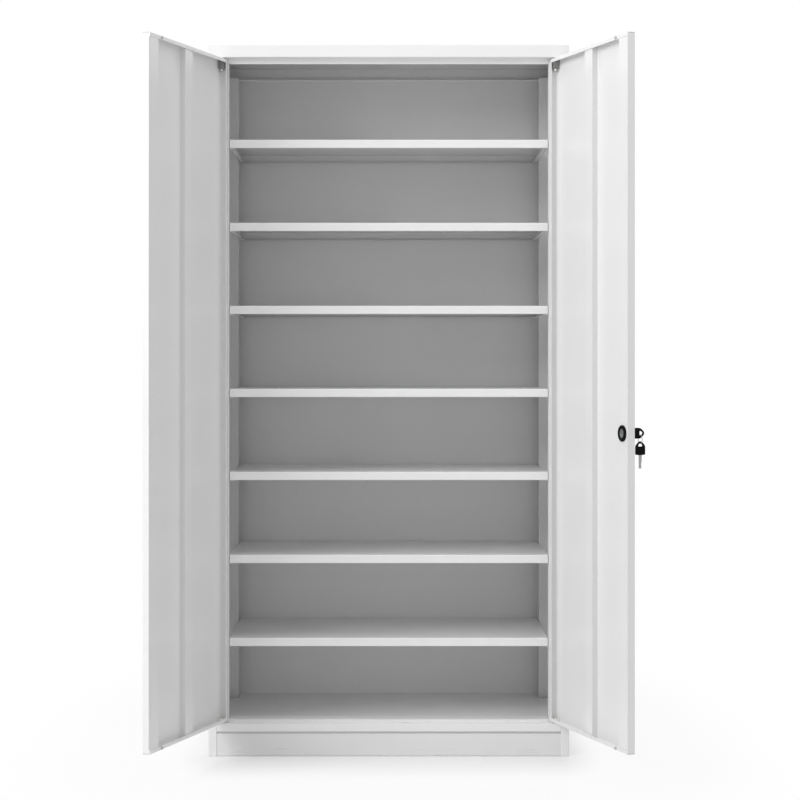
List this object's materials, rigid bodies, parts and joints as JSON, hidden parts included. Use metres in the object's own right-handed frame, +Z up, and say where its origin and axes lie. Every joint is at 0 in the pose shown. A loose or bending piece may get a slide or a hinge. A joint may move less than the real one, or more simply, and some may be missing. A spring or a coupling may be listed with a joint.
{
  "type": "filing cabinet",
  "caption": "Tall steel filing cabinet with hinged doors standing open, loose shelves on slotted uprights and a key lock that drives rods.",
  "frame": {"origin": "on the floor, mid-width, in the plane of the front frame", "axes": "+X to the right seen from the front, +Y to the rear, +Z up"},
  "size_m": [1.1571, 0.7969, 1.775],
  "materials": {
    "case_enamel": "satin",
    "inner_enamel": "satin",
    "door_enamel": "satin",
    "dark_bracket": "satin",
    "rubber": "matte",
    "brass": "satin",
    "black_plastic": "matte",
    "key_steel": "polished",
    "zinc": "satin"
  },
  "bodies": {
    "case": {"left_side_panel": "case_enamel", "right_side_panel": "case_enamel", "back_panel": "case_enamel", "top_panel": "case_enamel", "bottom_panel": "case_enamel", "kick_plate": "case_enamel", "left_front_upright": "inner_enamel", "right_front_upright": "inner_enamel", "left_rear_upright": "inner_enamel", "right_rear_upright": "inner_enamel", "shelf_1": "inner_enamel", "shelf_2": "inner_enamel", "shelf_3": "inner_enamel", "shelf_4": "inner_enamel", "shelf_5": "inner_enamel", "shelf_6": "inner_enamel", "shelf_7": "inner_enamel", "shelf_clips": "zinc", "case_screws": "zinc", "left_top_plate": "zinc", "right_top_plate": "zinc", "left_bottom_plate": "zinc", "right_bottom_plate": "zinc", "left_top_pin": "zinc", "right_top_pin": "zinc", "left_bottom_pin": "zinc", "right_bottom_pin": "zinc", "thrust_washers": "zinc"},
    "left_door": {"left_door_pan": "door_enamel", "left_door_stile": "door_enamel", "left_door_stiffener": "door_enamel", "left_door_top_bracket": "dark_bracket", "left_door_bottom_bracket": "door_enamel", "left_door_bushes": "brass", "left_door_buffers": "rubber", "closing_strip": "door_enamel"},
    "right_door": {"right_door_pan": "door_enamel", "right_door_stile": "door_enamel", "right_door_stiffener": "door_enamel", "right_door_top_bracket": "dark_bracket", "right_door_bottom_bracket": "door_enamel", "right_door_bushes": "brass", "right_door_buffers": "rubber", "lock_bezel": "black_plastic", "lock_barrel": "zinc", "barrel_nut": "zinc", "lock_trim_ring": "black_plastic", "tail_bearing": "zinc", "rod_guides": "zinc"},
    "lock_rotor": {"lock_plug": "zinc", "lock_cam": "zinc", "cam_clip": "zinc", "key_blade": "key_steel", "key_head": "black_plastic"},
    "upper_rod": {"upper_lock_rod": "zinc"},
    "lower_rod": {"lower_lock_rod": "zinc"},
    "key_ring": {"key_ring": "key_steel"},
    "spare_key": {"spare_key_blade": "key_steel", "spare_key_head": "black_plastic"}
  },
  "joints": [
    {"name": "left_door_hinge", "type": "hinge", "parent": "case", "child": "left_door", "pos_m": [-0.417, 0.008, 0.9], "axis": [0, 0, -1], "range_deg": [-109.7, 2]},
    {"name": "right_door_hinge", "type": "hinge", "parent": "case", "child": "right_door", "pos_m": [0.417, 0.008, 0.9], "axis": [0, 0, 1], "range_deg": [-109.7, 2]},
    {"name": "lock_turn", "type": "hinge", "parent": "right_door", "child": "lock_rotor", "pos_m": [0.55634, -0.35742, 0.819], "axis": [0.9415, 0.3371, 0], "range_deg": [-90, 0]},
    {"name": "upper_rod_slide", "type": "slide", "parent": "right_door", "child": "upper_rod", "axis": [0, 0, 1], "range_m": [0, 0.01838]},
    {"name": "lower_rod_slide", "type": "slide", "parent": "right_door", "child": "lower_rod", "axis": [0, 0, -1], "range_m": [0, 0.01838]},
    {"name": "key_ring_swing", "type": "hinge", "parent": "lock_rotor", "child": "key_ring", "pos_m": [0.58063, -0.34872, 0.81025], "axis": [0.9415, 0.3371, 0], "range_deg": [-95, 95]},
    {"name": "spare_key_swing", "type": "hinge", "parent": "key_ring", "child": "spare_key", "pos_m": [0.58063, -0.34872, 0.79475], "axis": [0.3371, -0.9415, 0], "range_deg": [-12, 60]}
  ],
  "couplings": [
    {"joint": "lock_turn", "follows": "upper_rod_slide", "rad_per_m": -85.45},
    {"joint": "lower_rod_slide", "follows": "upper_rod_slide", "ratio": 1}
  ]
}
